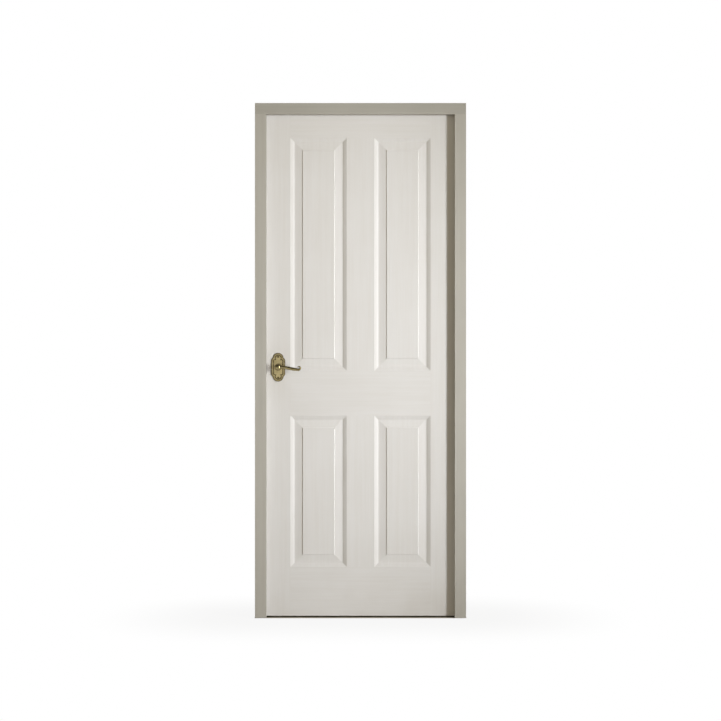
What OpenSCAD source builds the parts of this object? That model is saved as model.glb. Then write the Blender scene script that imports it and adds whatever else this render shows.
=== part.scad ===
// Moulded four-panel door leaf in a rebated timber frame, with butt hinges, mortice latch and scroll levers.
// Millimetres. Origin on the floor under the middle of the frame, leaf centred on y = 0, front to -Y, +Z up.

/* [Leaf] */
// Width of the leaf
leaf_w = 762; // [686:1:838]
// Height of the leaf
leaf_h = 1981; // [1829:1:2134]
// Thickness of the leaf
leaf_t = 35; // [35:0.5:44]
// Gap under the leaf
floor_gap = 5; // [3:0.5:20]
// Gap between the leaf and the rebate
edge_gap = 3; // [2:0.1:4]
// Thickness of each pressed skin
skin_t = 3; // [2.5:0.1:3.5]

/* [Panels] */
// Width of the flat beside the panels
stile_w = 105.5; // [98:0.5:120]
// Width of the flat between the panels
mullion_w = 110; // [90:1:130]
// Height of the flat over the upper panels
top_rail_h = 100; // [80:1:130]
// Height of the flat between upper and lower panels
lock_rail_h = 177; // [140:1:210]
// Height of the flat under the lower panels
bottom_rail_h = 192; // [150:1:230]
// Height of the lower panels
lower_panel_h = 595; // [450:1:700]

/* [Moulding] */
// Width of the small step at the rim of a panel
quirk_w = 1.5; // [1:0.1:3]
// Depth of that step
quirk_d = 1; // [0.5:0.1:2]
// Width of the rounded slope into the groove
ovolo_w = 14; // [10:0.5:18]
// How far the slope swells
ovolo_swell = 0.5; // [0.2:0.1:2.5]
// Width of the flat of the groove
groove_w = 2; // [1:0.1:4]
// Depth of the groove
groove_d = 6.8; // [6:0.1:9]
// Width of the hollow bevel round the field
bevel_w = 29.5; // [18:0.5:34]
// How far the bevel is hollowed
bevel_sag = 0.1; // [0:0.1:1]
// Width of the step up to the field
step_w = 1.5; // [1:0.1:8]
// Height of that step
step_h = 2.6; // [1.5:0.1:4]
// How far the step swells
step_swell = 0.2; // [0.1:0.1:0.8]
// Depth of the field under the face
field_d = 0.5; // [0.2:0.1:2]

/* [Inside of the leaf] */
// Width of the timber stiles under the skins
inner_stile_w = 32; // [28:0.5:40]
// Height of the top rail under the skins
inner_top_h = 32; // [28:0.5:60]
// Height of the bottom rail under the skins
inner_bottom_h = 55; // [40:1:90]
// Height of the lock block
block_h = 300; // [200:5:400]
// Slack between the lock block and the panels
block_slack = 0.5; // [0.3:0.1:2]
// Pitch of the honeycomb cells
cell = 120; // [100:1:140]
// Wall of the honeycomb
cell_wall = 1.2; // [1:0.1:2]
// Slack round the core
core_slack = 0.2; // [0.1:0.1:0.5]

/* [Frame] */
// Width of the frame's face
face_w = 44; // [40:0.5:60]
// How far the stop stands into the opening
stop_lap = 14; // [10:0.5:14.5]
// How far the leaf sits behind the frame's face
recess_d = 30; // [20:0.5:50]
// Gap between leaf and stop
stop_gap = 1.5; // [1:0.1:3]
// Radius of the fixing holes through the jambs
fix_r = 4; // [3:0.1:5]
// Radius of their countersinks
fix_sink_r = 8; // [7:0.1:9]
// Distance of the fixings in front of the leaf's middle
fix_y = 9; // [6:0.5:9]
// Foot or top of the frame to the outer fixings
fix_outer = 159.5; // [130:0.5:250]
// Foot or top of the frame to the inner fixings
fix_inner = 729.5; // [600:0.5:800]

/* [Hinges] */
// Height of a hinge
hinge_h = 75; // [70:1:90]
// Top of the leaf to the top hinge
hinge_top = 150; // [120:1:200]
// Bottom of the leaf to the bottom hinge
hinge_bottom = 225; // [180:1:260]
// Thickness of a hinge plate
plate_t = 2; // [1.6:0.1:2.4]
// How far a plate reaches into the edge
plate_reach = 20; // [18:0.5:23]
// Radius of the knuckles
knuckle_r = 5; // [4.5:0.1:5.2]
// Pin axis behind the face of the leaf
pin_off = 5.5; // [5.4:0.1:8]
// Radius of the pin
pin_r = 2.45; // [2:0.05:2.8]
// Radius of the pin's buttons
button_r = 4; // [3.6:0.1:4.4]
// Height of the pin's buttons
button_h = 1.6; // [1:0.1:3]
// Number of knuckles
knuckles = 5; // [5:2:7]
// Gap between knuckles
knuckle_gap = 0.4; // [0.3:0.05:0.6]

/* [Latch] */
// Height of the spindle over the floor
latch_z = 983; // [900:1:1050]
// Leaf edge to spindle
backset = 57; // [56:0.5:60]
// Height of the forend
forend_h = 57; // [54:0.5:64]
// Width of the forend
forend_w = 25; // [22:0.5:27]
// Thickness of the forend
forend_t = 3; // [2.5:0.1:3.5]
// Length of the latch
latch_len = 76; // [75:0.5:80]
// Outer radius of the case tube
case_r = 12; // [12:0.1:12.6]
// Wall of the case tube
case_wall = 1.2; // [1:0.1:1.4]
// Guide plate in the case to the fork of the bolt's tails
guide_lead = 2.4; // [2.2:0.1:2.6]
// Radius of the cross bore for the spindle
cross_r = 10.8; // [10.4:0.1:11]
// Half thickness of the bolt
bolt_y = 6; // [5:0.1:6.3]
// Half height of the bolt
bolt_z = 8; // [6.5:0.1:8.2]
// How far the bolt stands out
bolt_out = 11; // [10:0.1:12]
// Travel of the bolt
bolt_throw = 9.6; // [8.5:0.1:9.8]
// Length of the bolt's head
bolt_len = 26; // [24:0.5:27]
// Half gap between the bolt's tails
tail_y = 3; // [2.9:0.05:3.2]
// Lap of the bolt's tails on its head
tail_lap = 2; // [1:0.1:4]
// Thickness of the bolt's tails
tail_t = 1.5; // [1.2:0.1:1.7]
// Half height of the bolt's tails
tail_z = 9.4; // [9:0.1:9.5]
// Radius of the follower
hub_r = 6.5; // [6.2:0.05:6.6]
// Radius of the follower's cam
cam_r = 10.2; // [9.8:0.1:10.3]
// Half width of the cam
cam_w = 1.5; // [1.2:0.1:1.6]
// Half thickness of the cam
cam_t = 2.6; // [2:0.1:2.6]
// Angle of the cam before the vertical
cam_lead = 27.5; // [25:0.5:30]
// Radius of the tail bar that the cam pushes
bar_r = 1.2; // [1:0.05:1.3]
// Height of that bar over the spindle
bar_z = 8.6; // [8.4:0.1:8.8]
// Start of that bar in front of the spindle
bar_lead = 1.3; // [1:0.1:1.5]
// Mean radius of the bolt spring
coil_r = 2.1; // [1.8:0.1:2.2]
// Wire radius of the bolt spring
wire_r = 0.4; // [0.3:0.05:0.5]
// Turns of the bolt spring
coil_turns = 7; // [5:1:8]

/* [Strike] */
// Height of the strike plate
strike_h = 60; // [58:1:70]
// Thickness of the strike plate
strike_t = 1.8; // [1.5:0.1:2]
// Front edge of the strike plate in front of the leaf's middle
strike_front = 12; // [10:0.5:14]
// Radius of the lip's bend
lip_r = 4; // [3:0.5:5]
// Height of the lip
lip_h = 34; // [30:1:40]
// Angle of the lip
lip_angle = 55; // [30:5:75]
// Depth of the mortice behind the strike
mortice_d = 16; // [14:0.5:18]

/* [Lever furniture] */
// Side of the square spindle
spindle_w = 8; // [7.5:0.1:8]
// Width of a backplate
bplate_w = 55; // [50:0.5:56]
// Height of a backplate
bplate_h = 113; // [108:0.5:118]
// Height of the backplate's middle
bplate_mid_h = 78; // [70:0.5:84]
// Corner radius of the backplate's middle
bplate_corner_r = 14; // [14:0.5:16]
// Radius of the backplate's end lobes
lobe_r = 21; // [19:0.5:23]
// Thickness of the backplate at its edge
bplate_edge_t = 2; // [1.6:0.1:2.4]
// Thickness of the backplate's rim
bplate_rim_t = 3.6; // [3:0.1:4]
// Thickness of the backplate's field
bplate_field_t = 4.8; // [4.4:0.1:5.4]
// Width of the edge step
bplate_step_w = 1.6; // [1:0.1:2.4]
// Width of the rim
bplate_rim_w = 6.6; // [2.5:0.1:7.8]
// Width of the channel inside the rim
bplate_channel_w = 2.6; // [2:0.1:3.4]
// Spacing of the backplate's screws
bplate_screws = 82; // [80:0.5:88]
// Radius of the collar round the lever's neck
collar_r = 12; // [11:0.1:13]
// Height of that collar over the leaf
collar_h = 9; // [8:0.1:10]
// Radius of the lever's neck in the collar
neck_r = 8; // [7.8:0.05:8.4]
// Radius of the neck's shoulder
shoulder_r = 10.4; // [9.8:0.1:11]
// Height of the neck's shoulder
shoulder_h = 2.4; // [2:0.1:3]
// Radius of the neck's waist
waist_r = 7.2; // [7:0.1:7.6]
// Radius of the boss that carries the bar
boss_r = 9.6; // [9:0.1:10.5]
// Leaf to the middle of the bar
bar_reach = 46; // [42:0.5:52]
// Half height of the boss
boss_half = 7; // [6.5:0.1:8]
// How far the boss swells
boss_swell = 0.4; // [0.1:0.1:0.8]
// Height of the boss's dome
dome_h = 3; // [2:0.1:4]
// Spindle to the middle of the scroll
scroll_x = 82.5; // [75:0.5:95]
// Drop of the bar at the scroll
scroll_drop = 9.3; // [6:0.1:12]
// Radius where the scroll starts
scroll_r = 7.2; // [6:0.1:8]
// Angle that the scroll turns
scroll_turn = 255; // [220:5:270]
// Half thickness of the bar at the boss
bar_h0 = 5.6; // [4:0.1:6]
// Half thickness of the bar at the scroll
bar_h1 = 5; // [2.3:0.1:5.4]
// How far the bar swells half-way along
bar_swell = 0.6; // [0:0.1:2.2]
// Half thickness of the scroll's tail
bar_h2 = 1.7; // [1.4:0.1:2]
// Half width of the bar at the boss
bar_w0 = 6; // [5:0.1:6.4]
// Half width of the bar at the scroll
bar_w1 = 5; // [4:0.1:6]
// Half width of the scroll's tail
bar_w2 = 3.4; // [2.8:0.1:4]
// Radius of the grub screw in the neck
grub_r = 2.5; // [2:0.1:2.6]
// Leaf to the grub screw
grub_reach = 22; // [18:0.5:26]
// Depth of the square hole in the neck
socket_reach = 34; // [30:0.5:37]

/* [Screws] */
// Diameter of the hinge screws
hinge_screw_d = 4; // [3.5:0.1:4.5]
// Length of the hinge screws
hinge_screw_len = 25; // [22:0.5:29]
// Diameter of the latch and strike screws
latch_screw_d = 3.5; // [3:0.1:4]
// Length of the latch and strike screws
latch_screw_len = 22; // [16:0.5:25]
// End of the forend or strike to its screws
latch_screw_end = 6.5; // [5.5:0.1:7.5]
// Diameter of the backplate screws
bplate_screw_d = 4; // [3.5:0.1:4.5]
// Length of the backplate screws
bplate_screw_len = 16; // [14:0.5:19]
// Diameter of the screws through the head
head_screw_d = 5; // [4.5:0.1:6]
// Length of the screws through the head
head_screw_len = 90; // [70:1:100]
// Width of the slots in the screw heads
slot_w = 0.9; // [0.6:0.1:1.2]
// Depth of the slots in the screw heads
slot_d = 0.9; // [0.6:0.1:1.2]

/* [Hidden] */
$fn = 48;
// Running clearance of a shaft in its hole
run_fit = 0.05;
// Clearance between pieces that slide or swing past each other
slide_gap = 0.3;
// Clearance round pieces that are fixed in a hole
seat_gap = 0.1;
// Slack at each end of the bolt spring
spring_gap = 0.2;
// Overrun of every cut
overrun = 1;
// Head radius of a screw over its shank radius
head_share = 1.9;
// Point length of a screw over its shank radius
point_share = 2;
// Screw places on a hinge plate, as shares of its height and reach
hinge_screw_shares = [[-0.36, 0.36], [0, 0.66], [0.36, 0.36]];
// Places of the head screws across the frame, as shares of its depth
head_screw_shares = [0.25, 0.72];
// Pull of the bar's curve, as shares of its length and drop
bar_pull_shares = [[0.34, -0.5], [0.6, 1.06]];
// Radius of the scroll at its end, as a share of its start
scroll_end_share = 0.5;
// Thickness of the scroll's bud along its last rings, as shares of the tail
bud_shares = [1.1, 1.35, 1.4, 1.2, 0.75];
// Steps of a curved line in the moulding
bow_steps = 5;
// Rings along the lever's bar
bar_rings = 12;
// Rings along its scroll
scroll_rings = 20;
// Sides of each of those rings
ring_sides = 14;
// Rings in a turn of the bolt spring
coil_rings = 12;
// Sides of its wire
coil_sides = 6;

half_w = leaf_w / 2;
half_t = leaf_t / 2;
inner_t = half_t - skin_t;
leaf_z0 = floor_gap;
leaf_z1 = floor_gap + leaf_h;
panel_w = half_w - stile_w - mullion_w / 2;
panel_x = mullion_w / 2 + panel_w / 2;
lower_z0 = leaf_z0 + bottom_rail_h;
upper_z0 = lower_z0 + lower_panel_h + lock_rail_h;
upper_panel_h = leaf_z1 - top_rail_h - upper_z0;
// Panels as middle x, bottom z, height
panels = [for (x = [-panel_x, panel_x])
    each [[x, lower_z0, lower_panel_h], [x, upper_z0, upper_panel_h]]];

pit_w = quirk_w + ovolo_w;
hump_u = pit_w + groove_w;
moulding_w = hump_u + bevel_w + step_w;
bevel_d = field_d + step_h;
block_t = groove_d + 2 * skin_t;

rebate_x = half_w + edge_gap;
stop_x = rebate_x - stop_lap;
outer_x = stop_x + face_w;
rebate_z = leaf_z1 + edge_gap;
stop_z = rebate_z - stop_lap;
frame_h = stop_z + face_w;
front_y = -half_t - recess_d;
stop_y = -half_t - stop_gap;
frame_d = half_t - front_y;
jamb_mid_x = (rebate_x + outer_x) / 2;

pin_x = half_w + edge_gap / 2;
pin_y = half_t + pin_off;
hinge_zs = [leaf_z0 + hinge_bottom + hinge_h / 2,
    (leaf_z0 + hinge_bottom + leaf_z1 - hinge_top) / 2,
    leaf_z1 - hinge_top - hinge_h / 2];
knuckle_h = hinge_h / knuckles;

spindle_x = -half_w + backset;
case_x0 = -half_w + forend_t;
case_x1 = -half_w + latch_len;
bolt_tip_x = -half_w - bolt_out;
bolt_back_x = bolt_tip_x + bolt_len;
fork_x = spindle_x - hub_r - bolt_throw - slide_gap;
guide_x = fork_x - guide_lead;
bore_r = case_r + seat_gap;
block_x1 = -half_w + stile_w - block_slack;
fix_zs = [for (end = [fix_outer, fix_inner]) each [end, frame_h - end]];

// Points of a curved line from a to b, bowed by sag
function bow(a, b, sag) = [for (i = [0 : bow_steps])
    let (t = i / bow_steps) a + t * (b - a) + [0, 4 * sag * t * (1 - t)]];

// Slope into the groove and slope up to the field, as inset and depth
pit_line = concat([[0, 0]],
    bow([quirk_w, quirk_d], [pit_w, groove_d], -ovolo_swell));
hump_line = concat(bow([hump_u, groove_d], [hump_u + bevel_w, bevel_d], bevel_sag),
    bow([hump_u + bevel_w, bevel_d], [moulding_w, field_d], -step_swell));

// Countersunk wood screw along -Z with its head's face at the origin
module screw_form(r, len) {
    head_r = r * head_share;
    rotate_extrude()
        polygon([[0, 0], [head_r, 0], [r, r - head_r], [r, r * point_share - len], [0, -len]]);
}

module screw(d, len) {
    difference() {
        screw_form(d / 2, len);
        cube([d * head_share + overrun, slot_w, 2 * slot_d], center = true);
    }
}

module screw_hole(d, len) {
    screw_form(d / 2 + seat_gap, len + seat_gap);
}

// Section of the frame: inset from the stop outwards, depth
module frame_section() {
    polygon([[0, front_y], [face_w, front_y], [face_w, half_t],
        [stop_lap, half_t], [stop_lap, stop_y], [0, stop_y]]);
}

module head_screw_places() {
    for (s = [-1, 1], share = head_screw_shares)
        translate([s * jamb_mid_x, front_y + share * frame_d, frame_h]) children();
}

module fixing_hole() {
    rotate([0, 90, 0]) {
        cylinder(r = fix_r, h = face_w + overrun);
        cylinder(r1 = fix_sink_r, r2 = fix_r, h = fix_sink_r - fix_r);
    }
}

// Jamb on the +X side, scribed under the head
module jamb() {
    difference() {
        translate([stop_x, 0, 0]) linear_extrude(height = rebate_z) frame_section();
        translate([stop_x - overrun, front_y - overrun, stop_z])
            cube([face_w + 2 * overrun, stop_y - front_y + overrun, stop_lap + overrun]);
        head_screw_places() screw_hole(head_screw_d, head_screw_len);
        for (z = fix_zs) translate([rebate_x, -fix_y, z]) fixing_hole();
    }
}

module hinge_places(side) {
    for (z = hinge_zs) translate([pin_x, pin_y, z]) mirror([side, 0, 0]) children();
}

// Bed of a hinge plate, seen from the pin
module hinge_bed() {
    translate([edge_gap / 2 - overrun, -pin_off - plate_reach, -hinge_h / 2])
        cube([plate_t + overrun, plate_reach + overrun, hinge_h]);
}

module hinge_screw_places() {
    for (p = hinge_screw_shares)
        translate([edge_gap / 2, -pin_off - p[1] * plate_reach, p[0] * hinge_h])
            rotate([0, -90, 0]) children();
}

module hinge_jamb() {
    color("#b1ab9e") difference() {
        jamb();
        hinge_places(0) {
            hinge_bed();
            hinge_screw_places() screw_hole(hinge_screw_d, hinge_screw_len);
        }
    }
}

module strike_screw_places() {
    for (s = [-1, 1])
        translate([-rebate_x, (half_t - strike_front) / 2, latch_z])
            translate([0, 0, s * (strike_h / 2 - latch_screw_end)]) rotate([0, 90, 0]) children();
}

// Window for the bolt through a plate of thickness t
module bolt_window(t, slack) {
    cube([2 * (t + overrun), 2 * (bolt_y + slack), 2 * (bolt_z + slack)], center = true);
}

module latch_jamb() {
    color("#b1ab9e") difference() {
        mirror([1, 0, 0]) jamb();
        translate([-rebate_x - strike_t, -strike_front, latch_z - strike_h / 2])
            cube([strike_t + overrun, strike_front + half_t + overrun, strike_h]);
        translate([-rebate_x - mortice_d, -bolt_y - 2 * slide_gap, latch_z - bolt_z - 2 * slide_gap])
            cube([mortice_d + overrun, 2 * bolt_y + 4 * slide_gap, 2 * bolt_z + 4 * slide_gap]);
        strike_screw_places() screw_hole(latch_screw_d, latch_screw_len);
    }
}

module head_jamb() {
    color("#b1ab9e") difference() {
        translate([0, 0, stop_z]) rotate([0, -90, 0])
            linear_extrude(height = 2 * outer_x, center = true) frame_section();
        head_screw_places() screw_hole(head_screw_d, head_screw_len);
    }
}

module head_screws() {
    color("#8c8a80") head_screw_places() screw(head_screw_d, head_screw_len);
}

module strike_plate() {
    color("#c9a24d") difference() {
        union() {
            translate([-rebate_x - strike_t, -strike_front, latch_z - strike_h / 2])
                cube([strike_t, strike_front + half_t, strike_h]);
            translate([-rebate_x - strike_t - lip_r, half_t, latch_z - lip_h / 2])
                rotate_extrude(angle = lip_angle) translate([lip_r, 0]) square([strike_t, lip_h]);
        }
        translate([-rebate_x, 0, latch_z]) bolt_window(strike_t, 2 * slide_gap);
        strike_screw_places() screw_hole(latch_screw_d, latch_screw_len);
    }
}

module strike_screws() {
    color("#c9a24d") strike_screw_places() screw(latch_screw_d, latch_screw_len);
}

// Knuckle k of a hinge, with the strap that joins it to its plate
module knuckle(k) {
    len = knuckle_h - knuckle_gap;
    translate([0, 0, (2 * k + 1 - knuckles) / 2 * knuckle_h]) {
        cylinder(r = knuckle_r, h = len, center = true);
        translate([edge_gap / 2, -pin_off - plate_t, -len / 2]) cube([plate_t, pin_off + plate_t, len]);
    }
}

module hinge_half(first) {
    color("#c9a24d") difference() {
        union() {
            translate([edge_gap / 2, -pin_off - plate_reach, -hinge_h / 2])
                cube([plate_t, plate_reach, hinge_h]);
            for (k = [first : 2 : knuckles - 1]) knuckle(k);
        }
        cylinder(r = pin_r + run_fit, h = hinge_h + 2 * overrun, center = true);
        hinge_screw_places() screw_hole(hinge_screw_d, hinge_screw_len);
    }
}

module hinge_frame(i) {
    translate([pin_x, pin_y, hinge_zs[i]]) hinge_half(0);
}

module hinge_door(i) {
    translate([pin_x, pin_y, hinge_zs[i]]) mirror([1, 0, 0]) hinge_half(1);
}

module hinge_pin(i) {
    color("#c9a24d") translate([pin_x, pin_y, hinge_zs[i]]) {
        cylinder(r = pin_r, h = hinge_h, center = true);
        for (s = [0, 1]) mirror([0, 0, s])
            translate([0, 0, hinge_h / 2]) cylinder(r = button_r, h = button_h);
    }
}

module hinge_frame_bottom() {
    hinge_frame(0);
}

module hinge_frame_middle() {
    hinge_frame(1);
}

module hinge_frame_top() {
    hinge_frame(2);
}

module hinge_door_bottom() {
    hinge_door(0);
}

module hinge_door_middle() {
    hinge_door(1);
}

module hinge_door_top() {
    hinge_door(2);
}

module hinge_pin_bottom() {
    hinge_pin(0);
}

module hinge_pin_middle() {
    hinge_pin(1);
}

module hinge_pin_top() {
    hinge_pin(2);
}

module hinge_frame_screws() {
    color("#c9a24d") hinge_places(0) hinge_screw_places() screw(hinge_screw_d, hinge_screw_len);
}

module hinge_door_screws() {
    color("#c9a24d") hinge_places(1) hinge_screw_places() screw(hinge_screw_d, hinge_screw_len);
}

// Prism of a panel's slope across a width, along its length
module slope_prism(w, len, line, base) {
    left = [for (p = line) [p[0] - w / 2, p[1]]];
    right = [for (i = [len(line) - 1 : -1 : 0]) [w / 2 - line[i][0], line[i][1]]];
    linear_extrude(height = len)
        polygon(concat([[left[0][0], base]], left, right, [[right[len(line) - 1][0], base]]));
}

// Solid with the slope on all four sides of a panel, mitred at the corners, depth along +Y
module sloped(w, h, line, base) {
    intersection() {
        slope_prism(w, h, line, base);
        translate([-w / 2, 0, h / 2]) rotate([0, 90, 0]) slope_prism(h, w, line, base);
    }
}

// Front of the leaf as a thick slab with its panels pressed in
module pressed_slab() {
    difference() {
        translate([-half_w, -half_t, leaf_z0]) cube([leaf_w, block_t, leaf_h]);
        for (p = panels) translate([p[0], -half_t, p[1]]) difference() {
            sloped(panel_w, p[2], pit_line, -overrun);
            sloped(panel_w, p[2], hump_line, groove_d + overrun);
        }
    }
}

module spindle_bore() {
    translate([spindle_x, 0, latch_z]) rotate([90, 0, 0])
        cylinder(r = cross_r, h = leaf_t + 2 * overrun, center = true);
}

module bplate_screw_places() {
    for (s = [-1, 1])
        translate([spindle_x, -half_t - bplate_field_t, latch_z + s * bplate_screws / 2])
            rotate([90, 0, 0]) children();
}

module skin() {
    difference() {
        pressed_slab();
        translate([0, skin_t, 0]) pressed_slab();
        spindle_bore();
        bplate_screw_places() screw_hole(bplate_screw_d, bplate_screw_len);
    }
}

module front_skin() {
    color("#e4dfda") skin();
}

module back_skin() {
    color("#e4dfda") difference() {
        mirror([0, 1, 0]) skin();
        hinge_places(1) hinge_bed();
    }
}

// Timber between the skins from x0 to x1 and z0 to z1
module lumber(x0, x1, z0, z1) {
    translate([x0, -inner_t, z0]) cube([x1 - x0, 2 * inner_t, z1 - z0]);
}

module hinge_stile() {
    color("#c8a878") difference() {
        lumber(half_w - inner_stile_w, half_w, leaf_z0, leaf_z1);
        hinge_places(1) {
            hinge_bed();
            hinge_screw_places() screw_hole(hinge_screw_d, hinge_screw_len);
        }
    }
}

module forend_screw_places() {
    for (s = [-1, 1])
        translate([-half_w, 0, latch_z + s * (forend_h / 2 - latch_screw_end)])
            rotate([0, -90, 0]) children();
}

module case_bore() {
    translate([-half_w - overrun, 0, latch_z]) rotate([0, 90, 0])
        cylinder(r = bore_r, h = latch_len + seat_gap + overrun);
}

module latch_stile() {
    color("#c8a878") difference() {
        lumber(-half_w, -half_w + inner_stile_w, leaf_z0, leaf_z1);
        translate([-half_w - overrun, -forend_w / 2, latch_z - forend_h / 2])
            cube([forend_t + overrun, forend_w, forend_h]);
        case_bore();
        forend_screw_places() screw_hole(latch_screw_d, latch_screw_len);
    }
}

module top_rail() {
    x = half_w - inner_stile_w;
    color("#c8a878") lumber(-x, x, leaf_z1 - inner_top_h, leaf_z1);
}

module bottom_rail() {
    x = half_w - inner_stile_w;
    color("#c8a878") lumber(-x, x, leaf_z0, leaf_z0 + inner_bottom_h);
}

module lock_block() {
    color("#b8956a") difference() {
        lumber(-half_w + inner_stile_w, block_x1, latch_z - block_h / 2, latch_z + block_h / 2);
        case_bore();
        spindle_bore();
        for (s = [0, 1]) mirror([0, s, 0])
            bplate_screw_places() screw_hole(bplate_screw_d, bplate_screw_len);
    }
}

// Sheet of hexagon cells, larger than the leaf
module comb_sheet() {
    nx = ceil(leaf_w / cell);
    nz = ceil(leaf_h / cell / cos(30));
    hole_r = (cell - cell_wall) / 2 / cos(30);
    mid = [for (j = [0 : nz], i = [0 : nx])
        [(i + (j % 2) / 2 - nx / 2) * cell, leaf_z0 + j * cell * cos(30)]];
    rim = cell + half_w;
    low = leaf_z0 - cell;
    high = leaf_z1 + 2 * cell;
    border = [[-rim, low], [rim, low], [rim, high], [-rim, high]];
    cells = [for (m = mid, a = [30 : 60 : 330]) m + hole_r * [cos(a), sin(a)]];
    polygon(concat(border, cells),
        paths = concat([[0, 1, 2, 3]], [for (n = [0 : len(mid) - 1]) [for (k = [0 : 5]) 4 + 6 * n + k]]));
}

module honeycomb_core() {
    room_x = half_w - inner_stile_w - core_slack;
    room_z0 = leaf_z0 + inner_bottom_h + core_slack;
    room_z1 = leaf_z1 - inner_top_h - core_slack;
    thin = half_t - groove_d - skin_t - core_slack;
    color("#b99b6b") difference() {
        intersection() {
            rotate([90, 0, 0]) linear_extrude(height = 2 * inner_t, center = true) comb_sheet();
            lumber(-room_x, room_x, room_z0, room_z1);
        }
        translate([-half_w, -half_t, latch_z - block_h / 2 - core_slack])
            cube([block_x1 + core_slack + half_w, leaf_t, block_h + 2 * core_slack]);
        for (p = panels, s = [0, 1]) mirror([0, s, 0])
            translate([p[0] - panel_w / 2, thin, p[1]]) cube([panel_w, leaf_t, p[2]]);
    }
}

module latch_forend() {
    color("#c9a24d") difference() {
        translate([-half_w, -forend_w / 2, latch_z - forend_h / 2]) cube([forend_t, forend_w, forend_h]);
        translate([-half_w, 0, latch_z]) bolt_window(forend_t, slide_gap);
        forend_screw_places() screw_hole(latch_screw_d, latch_screw_len);
    }
}

module latch_case() {
    case_len = case_x1 - case_x0;
    color("#9a9a96") difference() {
        translate([case_x0, 0, latch_z]) rotate([0, 90, 0]) cylinder(r = case_r, h = case_len);
        translate([case_x0 - overrun, 0, latch_z]) rotate([0, 90, 0])
            cylinder(r = case_r - case_wall, h = guide_x - case_x0 + overrun);
        translate([guide_x + case_wall, 0, latch_z]) rotate([0, 90, 0])
            cylinder(r = case_r - case_wall, h = case_x1 - case_wall - guide_x - case_wall);
        for (s = [0, 1]) mirror([0, s, 0])
            translate([guide_x - overrun, tail_y - slide_gap, latch_z - tail_z - slide_gap])
                cube([case_wall + 2 * overrun, tail_t + 2 * slide_gap, 2 * (tail_z + slide_gap)]);
        translate([spindle_x, 0, latch_z]) rotate([90, 0, 0])
            cylinder(r = hub_r + run_fit, h = 2 * case_r + 2 * overrun, center = true);
    }
}

module forend_screws() {
    color("#c9a24d") forend_screw_places() screw(latch_screw_d, latch_screw_len);
}

// Loft through rings of equal length, closed at both ends
module loft(rings) {
    m = len(rings[0]);
    n = len(rings);
    points = [for (r = rings) each r];
    sides = [for (i = [0 : n - 2], j = [0 : m - 1])
        let (k = (j + 1) % m, a = i * m, b = a + m)
        each [[a + j, a + k, b + k], [a + j, b + k, b + j]]];
    start = [for (j = [m - 1 : -1 : 0]) j];
    end = [for (j = [0 : m - 1]) (n - 1) * m + j];
    polyhedron(points, concat([start], sides, [end]));
}

module bolt_spring() {
    run = guide_x - bolt_back_x - 2 * wire_r - 2 * spring_gap;
    steps = coil_turns * coil_rings;
    rings = [for (i = [0 : steps])
        let (a = 360 * i / coil_rings, x = bolt_back_x + wire_r + spring_gap + run * i / steps)
        [for (j = [0 : coil_sides - 1])
            let (b = -360 * j / coil_sides, r = coil_r + wire_r * cos(b))
            [x + wire_r * sin(b), r * cos(a), latch_z + r * sin(a)]]];
    color("#8f8f8b") loft(rings);
}

// Outline of a backplate, drawn in by an inset
module bplate_outline(inset) {
    w = bplate_w / 2 - inset;
    h = bplate_mid_h / 2 - inset;
    r = bplate_corner_r - inset;
    square([2 * (w - r), 2 * h], center = true);
    square([2 * w, 2 * (h - r)], center = true);
    for (x = [r - w, w - r], y = [r - h, h - r]) translate([x, y]) circle(r);
    for (y = [lobe_r - bplate_h / 2, bplate_h / 2 - lobe_r]) translate([0, y]) circle(lobe_r - inset);
}

module backplate() {
    channel = bplate_step_w + bplate_rim_w;
    color("#b8a05c") translate([spindle_x, -half_t, latch_z]) rotate([90, 0, 0]) difference() {
        union() {
            linear_extrude(height = bplate_edge_t) bplate_outline(0);
            linear_extrude(height = bplate_rim_t) difference() {
                bplate_outline(bplate_step_w);
                bplate_outline(channel);
            }
            linear_extrude(height = bplate_field_t) bplate_outline(channel + bplate_channel_w);
            cylinder(r = collar_r, h = collar_h);
        }
        translate([0, 0, -overrun]) cylinder(r = neck_r + run_fit, h = collar_h + 2 * overrun);
        for (s = [-1, 1]) translate([0, s * bplate_screws / 2, bplate_field_t])
            screw_hole(bplate_screw_d, bplate_screw_len);
    }
}

module front_backplate() {
    backplate();
}

module rear_backplate() {
    mirror([0, 1, 0]) backplate();
}

module front_plate_screws() {
    color("#b8a05c") bplate_screw_places() screw(bplate_screw_d, bplate_screw_len);
}

module rear_plate_screws() {
    mirror([0, 1, 0]) front_plate_screws();
}

// Middle line of the lever's bar, then of its scroll, in plan from the spindle
function bar_at(t) =
    let (a = bar_pull_shares[0], b = bar_pull_shares[1], s = 1 - t)
    [3 * s * s * t * a[0] * scroll_x + 3 * s * t * t * b[0] * scroll_x + t * t * t * scroll_x,
        -scroll_drop * (3 * s * s * t * a[1] + 3 * s * t * t * b[1] + t * t * t)];
function scroll_at(t) =
    let (a = t * scroll_turn - 90, r = scroll_r * (1 - t * (1 - scroll_end_share)))
    [scroll_x + r * cos(a), scroll_r - scroll_drop + r * sin(a)];
function mix(a, b, t) = a + (b - a) * t;

// Ring of the bar at a point of its line, square to the line's direction
function bar_ring(p, dir, h, w) =
    let (n = [-dir[1], dir[0]] / norm(dir))
    [for (j = [0 : ring_sides - 1])
        let (a = -360 * j / ring_sides, q = p + n * h * cos(a))
        [q[0], q[1], bar_reach + w * sin(a)]];

bar_line = concat([for (i = [0 : bar_rings - 1]) bar_at(i / bar_rings)],
    [for (i = [0 : scroll_rings]) scroll_at(i / scroll_rings)]);
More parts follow.
